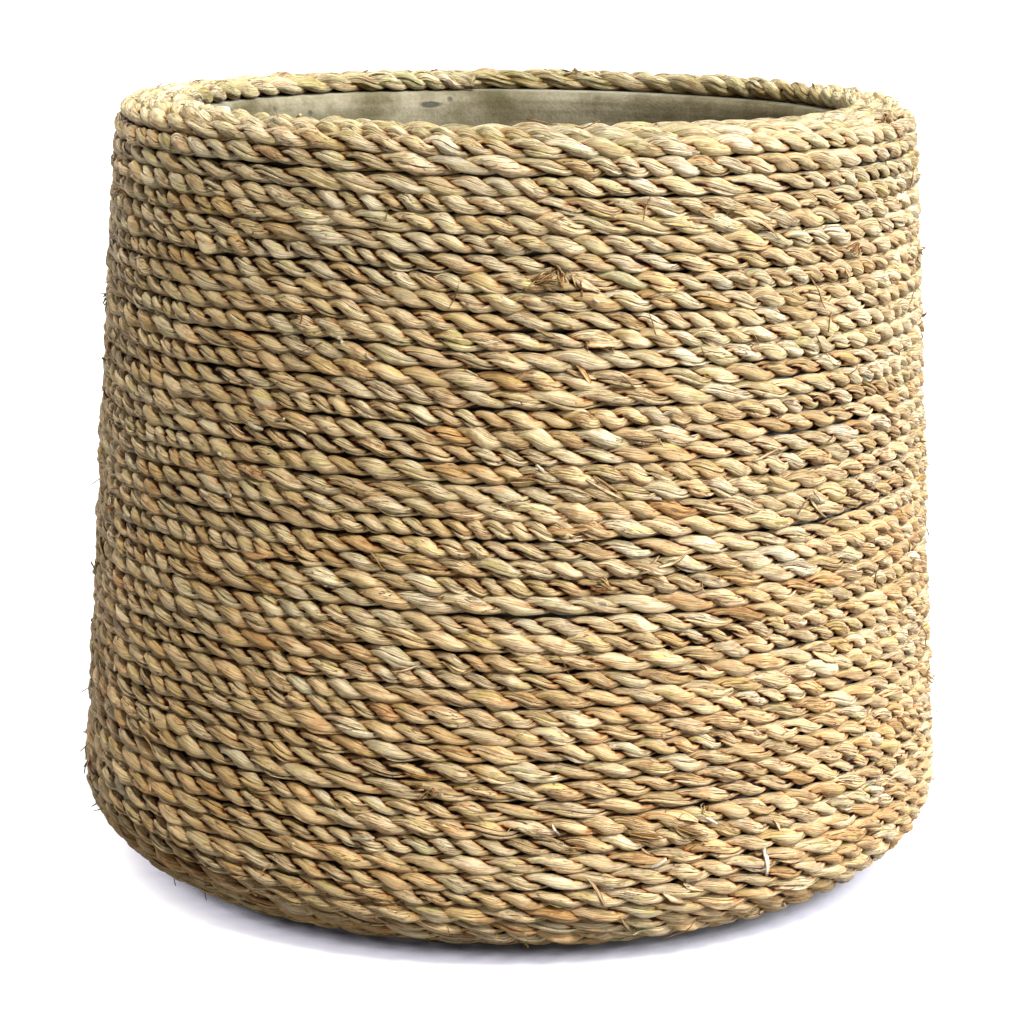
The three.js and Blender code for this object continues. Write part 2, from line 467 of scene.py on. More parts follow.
def rope_place(turn, stray):
    """The rope's angle round the pot and its running length up the outline, at a turn. The angle
    is 0 at the front, and grows to the right."""
    angle = PI - TURN * turn
    run = FIRST_TURN + PITCH * turn
    return angle, run + sway(turn, angle, run) + stray


# %% [markdown]
# ## The whole rope at once
# Everything that varies along the rope, such as the lay of the twist, the thickness and the
# stray, is worked out once for all forty-odd metres. A piece of rope then is a slice. The lay
# changes a good deal: hand-twisted rope has long loose lumps beside short tight ones. The straw's
# colour changes slowly too, from reddish at the foot to greenish and a little paler at the mouth.

# %% The rope's run
SAMPLES_PER_TURN = 200
RING_STEP = 1.6
STRAY = ((0.40, 85.0, 11), (0.27, 38.0, 12))
LAY_PLACES = (0.0, 0.25, 0.5, 0.75, 0.9, 1.0)
LAY = (25.0, 24.0, 20.5, 20.0, 21.5, 23.0)
LAY_CHANGE = ((0.20, 64.0, 13), (0.28, 22.0, 15))
THICKNESS = 1.06
THICKNESS_CHANGE = ((0.06, 110.0, 14), (0.05, 41.0, 16))
WARMTH_HEIGHTS = (0.0, 0.3, 0.7, 0.92, 1.0)
WARMTH_BY_HEIGHT = (0.64, 0.60, 0.52, 0.40, 0.22)
PALER_AT_MOUTH_PLACES = (0.0, 0.88, 1.0)
PALER_AT_MOUTH = (0.0, 0.0, 0.08)


def rope_run():
    """Turn numbers of rings one step apart along the rope, and their running length."""
    turn = np.linspace(0, TURNS, SAMPLES_PER_TURN * TURNS + 1)
    radius = np.interp(FIRST_TURN + PITCH * turn, line_run, line_points[:, 0])
    length = np.concatenate([[0], np.cumsum(np.diff(turn) * TURN * (radius[1:] + radius[:-1]) / 2)])
    along = np.arange(0, length[-1], RING_STEP)
    return np.interp(along, length, turn), along


ring_turn, ring_along = rope_run()
RINGS = len(ring_turn)
ring_share = ring_turn / TURNS
lay = np.interp(ring_share, LAY_PLACES, LAY) * (1 + drift(ring_along, LAY_CHANGE))
ring_phase = np.cumsum(TURN * RING_STEP / lay)
thickness = THICKNESS + drift(ring_along, THICKNESS_CHANGE)
warmth_by_height = np.interp(ring_share, WARMTH_HEIGHTS, WARMTH_BY_HEIGHT)
paler_at_mouth = np.interp(ring_share, PALER_AT_MOUTH_PLACES, PALER_AT_MOUTH)
ring_angle, ring_run = rope_place(ring_turn, drift(ring_along, STRAY))
ring_middle, ring_out, ring_up = wall_frame(ring_angle, ring_run)
print("rope", round(ring_along[-1] / 1000, 1), "m,", RINGS, "rings to a strand")

# %% [markdown]
# The rope is in three lengths, as in the construction model, which counts the winding in steps and
# cuts it half a step from a whole one. At the foot, at the mouth and where one length runs in
# under the next on the shoulder, the end is pinched flat against the pot, so that it can be glued
# down. The end at the mouth is pinched narrow too. The rim's length starts with a plain cut,
# which shows.

# %% Where the rope is cut
ROPE_START = 0.5
WALL_JOINT = round((TURNS - RIM_TURNS) / 2) * STEPS_PER_TURN - 0.5
ROPE_END = TURNS * STEPS_PER_TURN - 0.5
RIM_START = ROPE_END - round(RIM_TURNS * STEPS_PER_TURN)
LENGTHS = {
    "lower_wall_rope": (ROPE_START, WALL_JOINT),
    "upper_wall_rope": (WALL_JOINT, RIM_START),
    "rim_rope": (RIM_START, ROPE_END),
}
PINCH_LENGTH = 14.0
PINCH_THICKNESS = 0.45
TUCKED_GAP = 2.2


def along_at(step):
    """The running length at a step of the construction model's winding."""
    return np.interp(step / STEPS_PER_TURN, ring_turn, ring_along)


def pinch(end, before):
    """The share of its thickness that the rope keeps near a pinched end, on the side that lies
    before the end or on the side that lies after it."""
    distance = (end - ring_along) if before else (ring_along - end)
    share = PINCH_THICKNESS + (1 - PINCH_THICKNESS) * ease(distance, 0, PINCH_LENGTH)
    return np.where(distance < 0, 1.0, share)


ring_pinch = (pinch(along_at(ROPE_START), False) * pinch(along_at(RIM_START), True)
              * pinch(along_at(ROPE_END), True))
for length_name, (length_start, length_end) in LENGTHS.items():
    print(length_name, round((length_end - length_start) / STEPS_PER_TURN, 1), "turns")

# %% [markdown]
# ## Two strands, twisted
# Each strand goes round the rope's middle line, half a turn behind the other. The winder twists
# so that the strands run down to the right, as the middle stroke of an S does. A strand is not
# round: where it passes over its twin it is spread wide and flat, and where the two lie side by
# side each fills its own half. What shows of it is a lump like a leaf, pointed at both ends, with
# long slanting seams.
#
# A strand is a few leaves of straw, rolled. Its section is five folds, each lapping over the
# next with a small step. The columns of the mesh follow the steps, so a crease stays crisp with
# only fifteen columns. The folds' widths wander, and the steps fade away and come back.

# %% A strand's folds
FOLDS = 5
FOLD_PLACES = np.array([0.0, 0.40, 0.87])
COLUMNS = FOLDS * len(FOLD_PLACES)
WIDTH_SPACING = 40.0
STEP_SPACING = 20.0
STEP_OFTEN = 0.22
STEP_DEPTH = 0.48
FOLD_LIFT = (0.07, 0.15)
LIFT_SPACING = 15.0
CRUMPLE = (0.065, 5.5)


def slow_change(change, seed):
    """A wandering curve along the rope. The change is its height and its spacing."""
    height, spacing = change
    return height * wander(ring_along, spacing, seed)


def fold_grid(seed):
    """For each ring and column: the share of the way round at which the column lies, and the
    depth of the step beside it. Five widths that wander are summed into the steps' places."""
    widths = [0.5 + (0.5 + slow_change((0.5, WIDTH_SPACING), seed + f)) ** 2 for f in range(FOLDS)]
    width = np.stack(widths, 1)
    width /= width.sum(axis=1, keepdims=True)
    start = np.cumsum(width, 1) - width
    share = start[:, :, None] + width[:, :, None] * FOLD_PLACES
    steps = [wander(ring_along, STEP_SPACING + 2 * f, seed + 40 + f) for f in range(FOLDS)]
    step = np.clip(STEP_OFTEN + np.stack(steps, 1), 0, 1)
    beside = np.stack([step, step, np.roll(step, -1, axis=1)], 2)
    return share.reshape(RINGS, COLUMNS), beside.reshape(RINGS, COLUMNS)


def fold_rise(beside, seed):
    """The relative radius of each column: low at a step, full beyond it, with a slow lift of
    each fold's crest and a small crumple of every column."""
    low, high = FOLD_LIFT
    rise = np.ones((RINGS, COLUMNS))
    for column in range(COLUMNS):
        fold, place = divmod(column, len(FOLD_PLACES))
        lift = wander(ring_along, LIFT_SPACING, seed + 60 + fold)
        rise[:, column] += slow_change(CRUMPLE, seed + 80 + column)
        rise[:, column] += (-STEP_DEPTH * beside[:, column], low * lift, high * lift)[place]
    return rise


# %% A strand's path and section
STRANDS = 2
ORBIT_OUT = 1.3
ORBIT_UP = 1.62
RAMP_SHARPNESS = 0.98
OVER_SIZE = (2.0, 2.5)
BESIDE_SIZE = (2.5, 1.45)
BESIDE_POWER = 1.2
SQUARENESS = 2.7
FOLD_BACK = 0.12
FOLD_BACK_CHANGE = (0.2, 70.0)


def strand_slide(phase):
    """How far up the wall a strand's centre lies, from -1 to 1: half of it is a sine, which gives
    a round lump, and half is a zigzag, which gives a pointed one."""
    return 0.5 * np.sin(phase) + np.arcsin(RAMP_SHARPNESS * np.sin(phase)) / PI


def strand_sides(phase, size, shift, seed):
    """How far out from the rope's middle and how far up the wall each point of a strand lies, and
    how deep the step beside it is.

    The strand's centre goes round the rope's middle by the phase. The section is an oval, a
    little square at the shoulders, times the relative radius of the folds: 1 over the oval's
    radius, to a power, is the cosine over the thickness plus the sine over the width, each to
    that power. Both sizes go from those over the twin to those beside it."""
    share, beside = fold_grid(seed + 100)
    back = FOLD_BACK + slow_change(FOLD_BACK_CHANGE, seed + 2)
    angle = TURN * share - np.cumsum(back * np.gradient(phase))[:, None]
    slide = strand_slide(phase)[:, None]
    beside_twin = np.abs(slide) ** BESIDE_POWER
    thick, wide = (a + (b - a) * beside_twin for a, b in zip(OVER_SIZE, BESIDE_SIZE))
    oval = (np.abs(np.cos(angle) / thick) ** SQUARENESS
            + np.abs(np.sin(angle) / wide) ** SQUARENESS) ** (1 / SQUARENESS)
    radius = fold_rise(beside, seed + 200) * size[:, None] / oval
    side_out = ORBIT_OUT * np.cos(phase)[:, None] + radius * np.cos(angle)
    side_up = ORBIT_UP * slide + radius * np.sin(angle) + shift[:, None]
    return side_out, side_up, beside


# %% [markdown]
# Shade is painted in two places: in the valley where the two strands meet, and in the groove
# between one turn and the next. Light finds them too, but the material also darkens the straw
# there, to near black: painted shade, with some browner old straw. So each point of the mesh
# keeps a number that says how deep in a seam it lies. On the rim the seams lie open to the sky,
# and their painted shade is paler.

# %% Seams
VALLEY = (1.48, 2.15)
GROOVE = (-1.7, 0.3)
OPEN_SIDE = 1.5
MOUTH_TURNS = 1.06
PALER_RIM = 0.45
PALER_TURNS = (4, 2)


def painted_seam_shade_depth(side_out, side_up):
    """How deep in a seam a point lies, from 0 to 1, which sets how dark the shade painted there is:
    in the valley by its distance from the rope's middle, or in the groove by its distance from the
    pot. The first turn has nothing below it and the last one nothing above, so that side of their
    groove is left open."""
    groove = 1 - ease(side_out, *GROOVE)
    groove *= 1 - (ring_turn > TURNS - MOUTH_TURNS)[:, None] * ease(side_up, 0, OPEN_SIDE)
    groove *= 1 - (ring_turn < 1)[:, None] * ease(-side_up, 0, OPEN_SIDE)
    seam = np.maximum(1 - ease(np.hypot(side_out, side_up), *VALLEY), groove)
    paler_start, paler_end = (TURNS - turns for turns in PALER_TURNS)
    return seam * (1 - PALER_RIM * ease(ring_turn, paler_start, paler_end)[:, None])


# %% [markdown]
# A lump is what shows of a strand between two dives under its twin. Chance gives each one its own
# size, place, tone, warmth and wrinkles, and a few are bruised.

# %% A whole strand
LUMP_SIZE = 0.18
LUMP_SHIFT = 0.42
SWELL = 0.05
SIZE_CHANGE = (0.14, 46.0)
TONE = 0.46
LUMP_TONE = 0.10
TONE_CHANGE = (0.09, 33.0)
LUMP_WARMTH = 0.10
WARMTH_CHANGE = (0.12, 48.0)
BRUISE = 0.18
BRUISED_SHARE = 0.05


def to_columns(values):
    """The number of each ring, repeated for its columns."""
    return np.repeat(values[:, None], COLUMNS, axis=1)


def strand_run(which):
    """One strand for the rope's whole length: its points, and what its straw is like at each.
    A lump's own number is the nearest whole turn of the phase, and its chances count in full at
    its middle and not at all where the strand lies against the pot."""
    seed = 7000 + 1000 * which
    phase = ring_phase + which * PI
    lump = np.round(phase / TURN).astype(int)
    facing = np.cos(phase / 2) ** 2
    chance = np.random.default_rng(seed).uniform(-1, 1, (lump.max() + 1, 6))[lump]
    larger, shifted, lighter, warmer, wrinkled, bruised = chance.T
    size = thickness * (1 + slow_change(SIZE_CHANGE, seed + 1)) * (1 + SWELL * np.cos(phase))
    size = size * (1 + LUMP_SIZE * larger * facing)
    side_out, side_up, step = strand_sides(phase, size, LUMP_SHIFT * shifted * facing, seed)
    seam = painted_seam_shade_depth(side_out, side_up)
    side_out = np.maximum(side_out, -ROPE_DEPTH / 2)
    side_out = (side_out + ROPE_DEPTH / 2) * ring_pinch[:, None] - ROPE_DEPTH / 2
    side_up = side_up * pinch(along_at(ROPE_END), True)[:, None]
    points = (ring_middle[:, None] + side_out[:, :, None] * ring_out[:, None]
              + side_up[:, :, None] * ring_up[:, None])
    tone = TONE + paler_at_mouth + LUMP_TONE * lighter + slow_change(TONE_CHANGE, seed + 3)
    warmth = warmth_by_height + LUMP_WARMTH * warmer + slow_change(WARMTH_CHANGE, seed + 4)
    warmth += BRUISE * np.sign(bruised) * (np.abs(bruised) > 1 - BRUISED_SHARE)
    return {
        "points": points,
        "side_out": side_out,
        "side_up": side_up,
        "step": step,
        "seam": seam,
        "tone": to_columns(tone),
        "warmth": to_columns(warmth),
        "wrinkle": to_columns(0.5 + 0.5 * wrinkled),
        "cut": np.zeros((RINGS, COLUMNS)),
    }


# %% [markdown]
# ## Straw
# Dried leaf is matt with a faint waxy sheen. Every lump is a leaf of its own colour: most are
# cream to tan, some greenish where the leaf was cut young, a few orange-brown where it was
# bruised. It wrinkles along its length as it dries and is twisted, and its edges have gone brown.
# Shade is painted into the wrinkles, into the creases between folds, and to near black where two
# strands meet, where some of the straw is browner too. What differs from place to place is stored
# in the mesh, as named numbers on its points. The finer pattern is laid on the piece's own map,
# whose first coordinate runs along the strand in metres and whose second counts folds, so that
# veins and wrinkles follow the twist.

# %% Straw material
def straw_material():
    """Dried, hand-twisted leaf: uneven cream and tan with fine veins, which makes it read as straw."""
    material, tree, output = new_material("dried_straw")
    tone, warmth, wrinkle, step, seam, cut = (
        add(tree, "ShaderNodeAttribute", {"attribute_name": name}).outputs["Fac"]
        for name in ("tone", "warmth", "wrinkle", "step", "seam", "cut"))
    uv = add(tree, "ShaderNodeUVMap", {"uv_map": "leaf"})
    parts = add(tree, "ShaderNodeSeparateXYZ", Vector=uv)
    along, fold = parts.outputs[0], parts.outputs[1]
    leaf = add(tree, "ShaderNodeMath", {"operation": "FLOOR"}, _0=fold)

    def pattern(per_metre, across, per_fold, place, **settings):
        """Noise on the map: so many cells to the metre along the strand, so many to a fold."""
        x = add(tree, "ShaderNodeMath", {"operation": "MULTIPLY"}, _0=along, _1=per_metre)
        y = add(tree, "ShaderNodeMath", {"operation": "MULTIPLY"}, _0=across, _1=per_fold)
        vector = add(tree, "ShaderNodeCombineXYZ", _0=x, _1=y, _2=place)
        return add(tree, "ShaderNodeTexNoise", Vector=vector, Scale=1.0, **settings)

    # A leaf keeps its own tone for 40 mm. Veins are 0.3 mm apart. Wrinkles run for 15 mm or so.
    leaf_tone = pattern(25.0, leaf, 5.3, 1.0, Detail=1.0)
    veins = pattern(75.0, fold, 9.0, 9.0, Detail=3.0, Roughness=0.7)
    stains = pattern(150.0, fold, 0.8, 2.0, Detail=4.0, Roughness=0.6)
    blush = pattern(80.0, fold, 1.5, 13.0, Detail=2.0, Roughness=0.5)
    wrinkles = pattern(70.0, fold, 2.6, 5.0, Detail=2.5, Roughness=0.55, Distortion=0.4)

    varied = add(tree, "ShaderNodeMath", {"operation": "MULTIPLY_ADD"},
                 _0=leaf_tone, _1=0.68, _2=-0.34)
    total = add(tree, "ShaderNodeMath", {"operation": "ADD"}, _0=varied, _1=tone)
    colour = add(tree, "ShaderNodeValToRGB", {"stops": (
        (0.0, "#b98f57"), (0.2, "#d6b781"), (0.42, "#e7d3aa"), (0.62, "#efe1c2"), (0.82, "#f2e7d0"),
        (1.0, "#f3ecdb"))}, Fac=total)
    # Each shade is laid over the last: its strength, the number that it follows, and its colours.
    shades = (
        (1.0, warmth, ((0.0, "#dbe2c4"), (0.22, "#f3f4e6"), (0.4, "#ffffff"), (0.66, "#fdefdf"),
                       (0.84, "#f3d6b8"), (1.0, "#e3bd95"))),
        (0.65, veins, ((0.36, "#8d7552"), (0.47, "#ece4d4"), (0.56, "#ffffff"))),
        (0.55, stains, ((0.34, "#b08a62"), (0.47, "#ffffff"))),
        (0.8, blush, ((0.3, "#f4d6bd"), (0.45, "#ffffff"), (0.53, "#ffffff"), (0.66, "#e9edc6"))),
    )
    for strength, source, stops in shades:
        shade = add(tree, "ShaderNodeValToRGB", {"stops": stops}, Fac=source)
        mixed = add(tree, "ShaderNodeMix", {"data_type": "RGBA", "blend_type": "MULTIPLY"},
                    _0=strength, _6=colour, _7=shade)
        colour = mixed.outputs[2]

    # A wrinkle is the thin line along which the noise passes its middle value. The line is painted
    # darker brown: painted shade in the wrinkle, which the bump also sinks.
    off_middle = add(tree, "ShaderNodeMath", {"operation": "SUBTRACT"}, _0=wrinkles, _1=0.5)
    distance = add(tree, "ShaderNodeMath", {"operation": "ABSOLUTE"}, _0=off_middle)
    line = add(tree, "ShaderNodeMapRange", _0=distance, _1=0.004, _2=0.024, _3=1.0, _4=0.0)
    depth = add(tree, "ShaderNodeMapRange", _0=wrinkle, _1=0.2, _2=0.8, _3=0.1, _4=0.95)
    ridge = add(tree, "ShaderNodeMath", {"operation": "MULTIPLY"}, _0=line, _1=depth)
    wrinkled = add(tree, "ShaderNodeMix", {"data_type": "RGBA"},
                   _0=ridge, _6=colour, _7=linear("#8a6142"))

    # A crease is the line where one fold laps over the next. It is painted darker where the step
    # is deep: painted shade in the crease.
    near = add(tree, "ShaderNodeMath", {"operation": "PINGPONG"}, _0=fold, _1=0.5)
    mask = add(tree, "ShaderNodeMapRange", _0=near, _1=0.01, _2=0.085, _3=1.0, _4=0.0)
    deep = add(tree, "ShaderNodeMapRange", _0=step, _1=0.0, _2=0.5, _3=0.0, _4=1.0)
    broken = add(tree, "ShaderNodeMapRange", _0=stains, _1=0.44, _2=0.6, _3=0.15, _4=1.0)
    deep = add(tree, "ShaderNodeMath", {"operation": "MULTIPLY"}, _0=deep, _1=broken)
    crease = add(tree, "ShaderNodeMath", {"operation": "MULTIPLY"}, _0=mask, _1=deep)
    with_painted_crease_shade = add(tree, "ShaderNodeMix", {"data_type": "RGBA"},
                  _0=crease, _6=wrinkled.outputs[2], _7=linear("#66422a"))
    # The seam number darkens the straw to near black: painted shade in the valleys and grooves, with
    # some browner straw there and on the brown edges of loose blades.
    painted_seam_shade = add(tree, "ShaderNodeValToRGB", {"stops": (
        (0.0, "#ffffff"), (0.26, "#f0d8ba"), (0.45, "#b5845c"), (0.62, "#54301a"),
        (0.82, "#190a02"))}, Fac=seam)
    with_painted_seam_shade = add(tree, "ShaderNodeMix", {"data_type": "RGBA", "blend_type": "MULTIPLY"},
                 _0=1.0, _6=with_painted_crease_shade.outputs[2], _7=painted_seam_shade)

    # A cut end shows the broken tubes of the leaf, about a millimetre across. The dark middles of
    # the cells are painted shade in the hollow tubes; the browns about them are the cut straw's colour.
    place = add(tree, "ShaderNodeTexCoord").outputs["Object"]
    tubes = add(tree, "ShaderNodeTexVoronoi", Vector=place, Scale=1300.0)
    tube_shade = add(tree, "ShaderNodeValToRGB", {"stops": (
        (0.15, "#3d2614"), (0.45, "#7c5532"), (0.7, "#b98d5c"))}, Fac=tubes)
    ended = add(tree, "ShaderNodeMix", {"data_type": "RGBA"},
                _0=cut, _6=with_painted_seam_shade.outputs[2], _7=tube_shade)

    height = add(tree, "ShaderNodeMath", {"operation": "MULTIPLY_ADD"}, _0=ridge, _1=-0.9, _2=veins)
    height = add(tree, "ShaderNodeMath", {"operation": "MULTIPLY_ADD"}, _0=crease, _1=-1.2, _2=height)
    bump = add(tree, "ShaderNodeBump", Strength=1.0, Distance=1.3 * MM, Height=height)
    rough = add(tree, "ShaderNodeMapRange", _0=veins, _1=0.3, _2=0.7, _3=0.55, _4=0.38)
    shader = add(tree, "ShaderNodeBsdfPrincipled", Base_Color=ended.outputs[2], Roughness=rough,
                 Specular_IOR_Level=0.25, Normal=bump)
    tree.links.new(shader.outputs[0], output.inputs[0])
    return material


straw = straw_material()
print("made material", straw.name)

# %% [markdown]
# ## From rings to a closed tube
# A strand's rings become quads. Each end has one more ring, drawn in towards the strand's middle
# and a little sunken, and a flat cap inside it: a cut end. Two maps go on the tube. One carries
# the straw pattern. The other lays the tube out in rows, like text on a page, so that no two
# faces share a place on it, but for the small caps.

# %% Tube with maps
FOLD_COLUMNS = (np.arange(FOLDS)[:, None] + FOLD_PLACES).ravel()
CUT_INSET = 0.35
CUT_SINK = 0.3
STEPS_ROUND = 8.0
ROW_FILL = 0.92
TRAITS = ("tone", "warmth", "wrinkle", "step", "seam", "cut")
LEAF_SPOT = (0.0, 0.5)
PAGE_SPOT = (0.999, 0.999)


def store_maps(obj, leaf, page, cap_corners):
    """Keeps the straw pattern's map and the page. The corners of all caps share a spot of each."""
    for name, values, spot in (("leaf", leaf, LEAF_SPOT), ("OFBake", page, PAGE_SPOT)):
        layer = obj.data.uv_layers.new(name=name)
        values = np.concatenate([values, np.tile(spot, (cap_corners, 1))])
        layer.uv.foreach_set("vector", values.astype(np.float32).ravel())
    obj.data.uv_layers.active = obj.data.uv_layers["leaf"]


def cut_ring(end, before):
    """The ring inside a cut end: the last ring drawn in towards its centre and sunken back
    towards the ring before it."""
    inward = before.mean(0) - end.mean(0)
    inward /= np.linalg.norm(inward)
    return end + (end.mean(0) - end) * CUT_INSET + inward * CUT_SINK


def with_ends(strand, along):
    """The strand with a cut ring added at each end, and the running lengths to match."""
    points = strand["points"]
    rings = [cut_ring(points[0], points[1])[None], points, cut_ring(points[-1], points[-2])[None]]
    closed = {"points": np.concatenate(rings)}
    for trait in TRAITS:
        values = strand[trait]
        closed[trait] = np.concatenate([values[:1], values, values[-1:]])
    closed["cut"][[0, -1]] = 1.0
    return closed, np.concatenate([along[:1] - CUT_INSET, along, along[-1:] + CUT_INSET])


def tube_faces(rings, first_vertex):
    """Quads between rings of columns, and one cap at each end, all facing out."""
    index = first_vertex + np.arange(rings * COLUMNS).reshape(rings, COLUMNS)
    after = np.roll(index, -1, axis=1)
    quads = np.stack([index[:-1], after[:-1], after[1:], index[1:]], 2).reshape(-1, 4)
    caps = np.stack([index[0][::-1], index[-1]])
    return quads, caps


def leaf_map(along, folds_from):
    """For the corners of each quad: metres along the strand and the fold coordinate."""
    fold = folds_from + np.concatenate([FOLD_COLUMNS, [FOLDS]])
    u = np.stack([along[:-1], along[:-1], along[1:], along[1:]], 1) * MM
    v = np.stack([fold[:-1], fold[1:], fold[1:], fold[:-1]], 1)
    rings = len(along) - 1
    return np.stack([np.broadcast_to(u[:, None], (rings, COLUMNS, 4)),
                     np.broadcast_to(v[None], (rings, COLUMNS, 4))], 3).reshape(-1, 2)


def page_map(first_ring, rings, total):
    """For the corners of each quad: its place on a square page of rows, a ring being one step
    along its row and the columns filling the row's height. A strand is about as far round as
    eight of its rings are long, so a row is as high as eight steps along it."""
    per_row = math.ceil(math.sqrt(total * STEPS_ROUND))
    rows = math.ceil(total / per_row) + 1
    ring = first_ring + np.arange(rings - 1)
    row, place = ring // per_row, ring % per_row
    x = np.stack([place, place, place + 1, place + 1], 1) / (per_row + 1)
    side = np.concatenate([FOLD_COLUMNS, [FOLDS]]) / FOLDS * ROW_FILL
    y = np.stack([side[:-1], side[1:], side[1:], side[:-1]], 1)
    shape = (rings - 1, COLUMNS, 4)
    x = np.broadcast_to(x[:, None], shape)
    y = (row[:, None, None] + np.broadcast_to(y[None], shape)) / rows
    return np.stack([x, y], 3).reshape(-1, 2)


def make_strands(name, strands, material):
    """One object of several strand tubes. Each strand is its rings, its running length and the
    number that its folds count from."""
    points, quads, caps, leaf, page = [], [], [], [], []
    total = sum(len(along) for _, along, _ in strands)
    first_vertex = first_ring = 0
    for strand, along, folds_from in strands:
        rings = len(along)
        tube_quads, tube_caps = tube_faces(rings, first_vertex)
        points.append(strand["points"].reshape(-1, 3))
        quads.append(tube_quads)
        caps.append(tube_caps)
        leaf.append(leaf_map(along, folds_from))
        page.append(page_map(first_ring, rings, total))
        first_vertex += rings * COLUMNS
        first_ring += rings
    faces = [np.concatenate(quads), np.concatenate(caps)]
    obj = make_object(name, np.concatenate(points), faces, material, [True, False])
    store_maps(obj, np.concatenate(leaf), np.concatenate(page), faces[1].size)
    for trait in TRAITS:
        store_numbers(obj, trait, np.concatenate([strand[trait] for strand, _, _ in strands]))
    return obj


# %% [markdown]
# ## Winding the planter
# Each of the three lengths is made in slices of about four turns, which keeps every mesh a
# sensible size. A strand is cut where it lies against the cement, so the joint between two slices
# is never seen: the two strands are cut half a twist apart. The second strand counts its folds
# from twenty, so that the pattern on it is another.

# %% Winding
TURNS_A_SLICE = 4.5
FOLDS_APART = 20


def hidden_ring(ring, which):
    """The ring nearest to this one at which the strand lies against the pot."""
    phase = (ring_phase + which * PI - PI) / TURN
    near = round(float(phase[ring]))
    return int(np.searchsorted(phase, near))


def wind_rope(runs):
    """Makes every slice of every length from the whole strands, and says which part of the
    construction model the slice stands for."""
    for node, (start, end) in LENGTHS.items():
        slices = max(1, math.ceil((end - start) / STEPS_PER_TURN / TURNS_A_SLICE))
        borders = along_at(np.linspace(start, end, slices + 1))
        if end == RIM_START:
            borders[-1] -= TUCKED_GAP
        rings = np.minimum(np.searchsorted(ring_along, borders), RINGS - 1)
        for i in range(slices):
            strands = []
            for which, run in enumerate(runs):
                first = rings[i] if i == 0 else hidden_ring(rings[i], which)
                last = rings[i + 1] if i == slices - 1 else hidden_ring(rings[i + 1], which)
                part = slice(first, last + 1)
                piece_run = {trait: values[part] for trait, values in run.items()}
                strand, along = with_ends(piece_run, ring_along[part])
                strands.append((strand, along, FOLDS_APART * which))
            name = f"{node}_slice_{i + 1}"
            piece = make_strands(name, strands, straw)
            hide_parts(node)
            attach(piece, "root")
            print(name, len(piece.data.polygons), "faces")


strand_runs = [strand_run(which) for which in range(STRANDS)]
wind_rope(strand_runs)

# %% [markdown]
# ## Loose straw
# Rope made by hand is never clean. Where a leaf ran out, its end was tucked between the strands
# and sticks out as a pale stub. Some leaves lie across the rope as flat strips, some ends have
# frayed, and fine fibres stand off everywhere. All of them are blades: a flat six-sided section
# carried along a line on the rope's surface. They must lie on the rope and not float over it, so
# the first step is a map of how far the rope stands out at each place.

# %% A map of the rope's surface
MAP_ANGLE = math.radians(0.75)
MAP_RUN = 1.0


def surface_map(runs):
    """How far the outermost straw stands out from the rope's middle surface, in cells of angle
    and running length. Cells that hold no point take their neighbours' greatest value."""
    columns, rows = round(TURN / MAP_ANGLE), int(line_run[-1] / MAP_RUN) + 2
    height = np.full((columns, rows), -ROPE_DEPTH / 2)
    for run in runs:
        ring_column = np.floor(ring_angle / MAP_ANGLE).astype(int) % columns
        column = np.broadcast_to(ring_column[:, None], run["side_up"].shape)
        row = np.clip(((ring_run[:, None] + run["side_up"]) / MAP_RUN).astype(int), 0, rows - 1)
        np.maximum.at(height, (column, row), run["side_out"])
    around = np.maximum(np.roll(height, 1, axis=0), np.roll(height, -1, axis=0))
    return np.where(height == -ROPE_DEPTH / 2, around, height)


def surface_at(height, angle, run):
    """The map's value at places given by angle and running length."""
    column = np.floor(angle / MAP_ANGLE).astype(int) % height.shape[0]
    return height[column, np.clip((run / MAP_RUN).astype(int), 0, height.shape[1] - 1)]


rope_height = surface_map(strand_runs)
print("the rope stands out by", round(float(np.median(rope_height)), 1), "mm, middle value")

# %% [markdown]
# Each kind of loose straw is a row of settings: how thick it is, how much of its width it keeps at
# its two ends, how far the ends stand off the rope, how brown its edges are, and its colour. An
# end with a negative lift dives between the strands, as a tucked leaf does.

# %% Kinds of loose straw
BLADE_KINDS = {
    # kind: thickness, start width, end width, start lift, end lift, edge, tone, warmth
    "strip": (0.45, 0.60, 0.35, -0.4, 0.2, 0.62, 0.46, 0.34),
    "broad": (0.50, 0.70, 0.40, -0.8, 0.1, 0.50, 0.46, 0.50),
    "pale": (0.60, 0.80, 0.75, -1.2, 0.9, 0.10, 0.95, 0.40),
    "dark": (0.50, 0.60, 0.45, -0.9, 0.6, 0.80, 0.05, 0.70),
    "fibre": (0.40, 0.80, 0.35, -0.2, 1.4, 0.60, 0.25, 0.32),
    "hair": (0.40, 0.80, 0.35, -0.8, 2.8, 0.60, 0.30, 0.36),
}
BLADE_RINGS = 8
BLADE_SECTION = np.array([(1, 0), (0.45, 0.5), (-0.45, 0.5), (-1, 0), (-0.45, -0.5), (0.45, -0.5)])
BLADE_EDGE = np.array([1, 0.15, 0.15, 1, 0.15, 0.15])
BLADE_CHANNEL = 0.14
BLADE_ROUGHNESS = 0.14
BLADE_BOW = 0.09
BLADE_ROLL = 0.35
BLADE_TONE = 0.12
BLADE_WARMTH = 0.10
BLADE_SHIFT = 0.07
BLADE_FILL = 0.9


def drape(angle, run):
    """The height at which a stiff leaf lies: the greatest of the rope's heights beside each point
    of its line, smoothed along the line."""
    height = surface_at(rope_height, angle, run)
    padded = np.pad(height, ((0, 0), (1, 1)), mode="edge")
    height = np.maximum(height, np.maximum(padded[:, :-2], padded[:, 2:]))
    padded = np.pad(height, ((0, 0), (1, 1)), mode="edge")
    return (padded[:, :-2] + 2 * height + padded[:, 2:]) / 4


